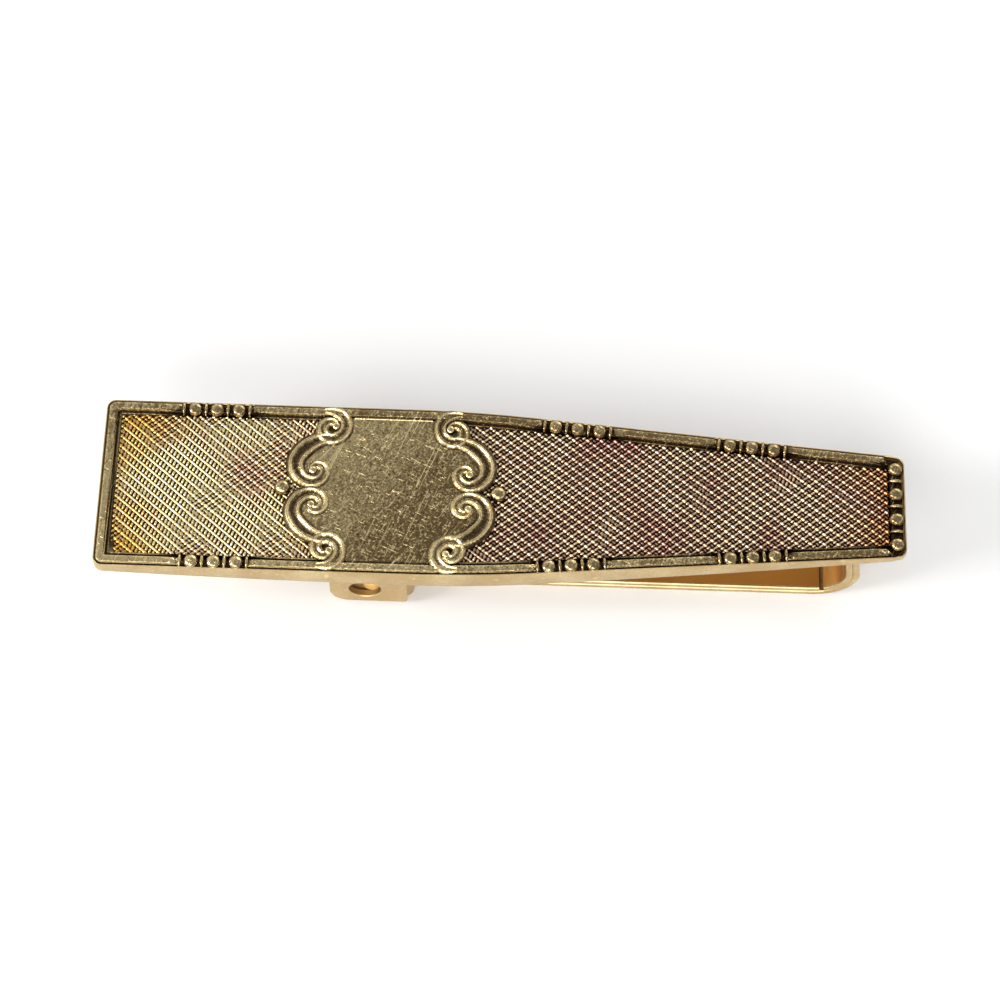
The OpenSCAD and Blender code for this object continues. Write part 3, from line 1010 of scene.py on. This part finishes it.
def addStrip(shell):
    columns = 4 * lever["teeth"]
    rings = []
    for x, z, tx, tz, layer, tooth in leverPath():
        edge = 0.03 if layer == "hem" or x > lever["noseCentre"][0] + 1 else lever["edge"]
        half = stripHalf(x, "inner" if layer == "end" else layer)
        thick = lever["sheet"] / 2 * (0.45 if layer == "end" else 1)
        wall = thick - edge
        nx, nz = tz, -tx   # outer face of the fold
        across = [(half - edge) * (2 * k / columns - 1) for k in range(columns + 1)]
        section = []
        for k, y in enumerate(across):
            notch = abs((k * 2 / columns * lever["teeth"]) % 2 - 1)
            section.append((thick - tooth * lever["toothDepth"] * (1 - notch), y))
        section += [(wall, half), (-wall, half)]
        section += [(-thick, y) for y in reversed(across)]
        section += [(-wall, -half), (wall, -half)]
        rings.append([(x + nx * out, y, z + nz * out) for out, y in section])
    shell.loft(rings, around=False)


def addShoulder(shell, side):
    # The drawn corner from the ear round to the arm, as a standing wall.
    radius, sheet, edge = lever["earRound"], lever["sheet"], lever["edge"]
    cx, cy = lever["earEnd"] - radius, lever["earHalf"] - lever["shoulderIn"] - radius
    path = [(cx - 0.03, cy + radius, 0, 1)]
    for k in range(13):
        a = pi / 2 - pi / 2 * k / 12
        path.append((cx + radius * cos(a), cy + radius * sin(a), cos(a), sin(a)))
    path.append((lever["earEnd"], lever["armHalf"] - 0.2, 1, 0))
    rings = []
    for x, y, nx, ny in path:
        top = lever["shoulder"]
        inX, inY = x - nx * sheet, y - ny * sheet
        rings.append([(x, side * y, 0.1), (x, side * y, top - edge),
                      (x - nx * edge, side * (y - ny * edge), top),
                      (inX + nx * edge, side * (inY + ny * edge), top),
                      (inX, side * inY, top - edge), (inX, side * inY, 0.1)])
    shell.loft(rings, around=False)


def makeLever():
    shell = Shell()
    addStrip(shell)
    foot, edge, corner = lever["earFoot"], lever["earEdge"], lever["earCorner"]
    x0, x1 = lever["earStart"] + lever["earRound"], lever["earEnd"] - lever["earRound"]
    for side in (-1, 1):
        addEar(shell, side * (lever["earHalf"] - lever["sheet"]), side * lever["earHalf"],
               (x0, foot, x1, lever["earTop"]), (edge, edge, corner, corner), lever["pivot"],
               edge)
        addShoulder(shell, side)
    return shell.piece("lever_strip", 35)


spring = {"coil": 0.95, "wire": 0.22, "gap": 0.04, "turns": 6, "lowerLean": 1,
          "upperLean": 27, "lowerLeg": (7, 3.5, 0.8), "upperLeg": (0.8, 3, 5.75), "step": 15}


def springPath():
    # A straight leg, the coil round the pin, and a leg up to the plate's back.
    s = spring
    px, pz, _ = lever["pivot"]
    sweep = 360 * s["turns"] + 180 - s["lowerLean"] - s["upperLean"]
    width = (2 * s["wire"] + s["gap"]) * sweep / 360
    steps = round(sweep / s["step"])

    def coil(share):
        a = radians(-90 + s["lowerLean"] + share * sweep)
        return (px + s["coil"] * cos(a), width * (share - 0.5), pz + s["coil"] * sin(a)), a

    (x, y, z), a = coil(0)
    points = [(x + d * sin(a), y, z - d * cos(a)) for d in s["lowerLeg"]]
    points += [coil(k / steps)[0] for k in range(steps + 1)]
    (x, y, z), a = coil(1)
    points += [(x - d * sin(a), y, z + d * cos(a)) for d in s["upperLeg"]]
    return points, width


def springTree():
    tree, bench, given = startTree("wireCoil", ["Wire Radius"])
    curve = bench.add("GeometryNodeMeshToCurve", {}, {0: given["Geometry"]})
    ring = bench.add("GeometryNodeCurvePrimitiveCircle", {}, {"Resolution": 14,
                                                              "Radius": given["Wire Radius"]})
    tube = bench.add("GeometryNodeCurveToMesh", {}, {"Curve": curve, "Profile Curve": ring,
                                                     "Fill Caps": True})
    endTree(bench, tube, given["Finish"])
    return tree


def makeSpring():
    points, width = springPath()
    mesh = bpy.data.meshes.new("spring")
    links = [(i, i + 1) for i in range(len(points) - 1)]
    mesh.from_pydata([place(*p) for p in points], links, [])
    piece = addObject("spring", mesh)
    grow(piece, springTree(), {"Wire Radius": spring["wire"] * mm, "Finish": metals["steel"]})
    fixNormals(piece)
    return piece, width


metals = {
    "rim": antiqueGilt("rimGilt"),
    "field": antiqueGilt("fieldGilt"),
    "scrolls": antiqueGilt("scrollGilt"),
    "beads": antiqueGilt("beadGilt"),
    "wovenWide": wovenGilt("wovenWide"),
    "wovenLong": wovenGilt("wovenLong"),
    "bar": satinGilt("barGilt", finishes["gilt"], finishes["giltDark"]),
    "bracket": satinGilt("bracketGilt", finishes["gilt"], finishes["giltDark"], radians(5)),
    "lever": satinGilt("leverGilt", finishes["gilt"], finishes["giltDark"], paintedBounce=True),
    "pin": satinGilt("pinGilt", finishes["pin"], finishes["pinDark"]),
    "steel": springSteel(),
}
print("metals ready:", len(metals))


def dress(piece, metal, body):
    piece.data.materials.clear()
    piece.data.materials.append(metal)
    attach(piece, body)


panels = makePanels()
print("panels woven:", sum(len(panel.data.polygons) for panel, kind in panels), "faces")

facePieces = panels + [(makeRim(), "rim"), (makeBeads(), "beads"), (makeField(), "field"),
                       (makeScrolls(), "scrolls"), (makeButtons(), "beads")]
for piece, kind in facePieces:
    dress(piece, metals[kind], "plate")
    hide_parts("face_plate")
print("face made:", len(facePieces), "pieces")

bar = makeBar()
dress(bar, metals["bar"], "plate")
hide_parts("base_plate")
cradle = makeBracket()
dress(cradle, metals["bracket"], "plate")
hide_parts("hinge_bracket")
strip = makeLever()
dress(strip, metals["lever"], "lever")
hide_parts("lever_arm")
coil, coilWidth = makeSpring()
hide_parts("torsion_spring")
pivotX, pivotZ, _ = lever["pivot"]
place(pivotX, coilWidth / 2 - 0.2, pivotZ)
place(pivotX, 0.2 - coilWidth / 2, pivotZ)
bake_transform(coil)
pin = bpy.data.objects["hinge_pin"]
pin.data.materials.clear()
pin.data.materials.append(metals["pin"])
print("bar, bracket, lever and spring made")


studio = {
    "floor": 1.2, "paper": 0.86, "paperRough": 0.9,
    "worldLow": 1.15, "worldHigh": 0.42, "worldTurn": (0.45, 0.8), "worldLean": (0.22, 0.1),
    "camera": {"aim": (25.84, -0.51, 7.65), "distance": 188.4, "tilt": 26, "roll": 1.862,
               "lens": 105.4},
    "lights": [
        {"name": "softFront", "at": (-0.08, -0.5, 0.3), "size": 0.4, "power": 2.3},
        {"name": "softLeft", "at": (-0.4, -0.12, 0.24), "size": 0.16, "power": 1.5},
        {"name": "softBack", "at": (0.2, 0.46, 0.2), "size": 0.3, "power": 0.5},
    ],
}


def makeStudio():
    size = studio["floor"]
    mesh = bpy.data.meshes.new("floor")
    mesh.from_pydata([(-size, -size, 0), (size, -size, 0), (size, size, 0), (-size, size, 0)],
                     [], [(0, 1, 2, 3)])
    floor = addObject("floor", mesh)
    paper = bpy.data.materials.new("paper")
    paper.use_nodes = True
    shader = paper.node_tree.nodes["Principled BSDF"]
    shader.inputs["Base Color"].default_value = (*[studio["paper"]] * 3, 1)
    shader.inputs["Roughness"].default_value = studio["paperRough"]
    mesh.materials.append(paper)
    for light in studio["lights"]:
        data = bpy.data.lights.new(light["name"], "AREA")
        data.energy = light["power"]
        data.size = light["size"]
        lamp = addObject(light["name"], data)
        lamp.location = light["at"]
        lamp.rotation_euler = (-Vector(light["at"])).to_track_quat("-Z", "Y").to_euler()


def makeWorld():
    # A bright horizon under a dimmer top, so edges and rounds in metal read light.
    world = bpy.data.worlds.new("studioAir")
    world.use_nodes = True
    world.node_tree.nodes.clear()
    bench = Bench(world.node_tree)
    x, y, z = bench.split(bench.add("ShaderNodeTexCoord", out=0))
    low, high = (studio["worldLow"],) * 3, (studio["worldHigh"],) * 3
    leanX, leanY = studio["worldLean"]
    start, end = studio["worldTurn"]
    stops = [(0.0, low), (start, low), (end, high), (1.0, high)]
    tone = bench.ramp(z + x * leanX + y * leanY, stops)
    air = bench.add("ShaderNodeBackground", {}, {"Color": tone, "Strength": 1.0})
    bench.add("ShaderNodeOutputWorld", {}, {"Surface": air})
    bpy.context.scene.world = world


def makeCamera():
    view = studio["camera"]
    tilt, roll = radians(view["tilt"]), radians(view["roll"])
    upward = Vector((0, cos(tilt), sin(tilt)))
    backward = Vector((0, -sin(tilt), cos(tilt)))
    level = Vector((1, 0, 0))
    right = level * cos(roll) + upward * sin(roll)
    top = upward * cos(roll) - level * sin(roll)
    data = bpy.data.cameras.new("view")
    data.lens = view["lens"]
    data.sensor_width = 36
    data.clip_start = 0.01
    camera = addObject("view", data)
    turned = Matrix((right, top, backward)).transposed().to_4x4()
    spot = Vector(place(*view["aim"])) + backward * view["distance"] * mm
    camera.matrix_world = Matrix.Translation(spot) @ turned
    bpy.context.scene.camera = camera


makeStudio()
makeWorld()
makeCamera()
bpy.context.scene.view_settings.view_transform = "Standard"
bpy.context.view_layer.update()
print("studio ready")
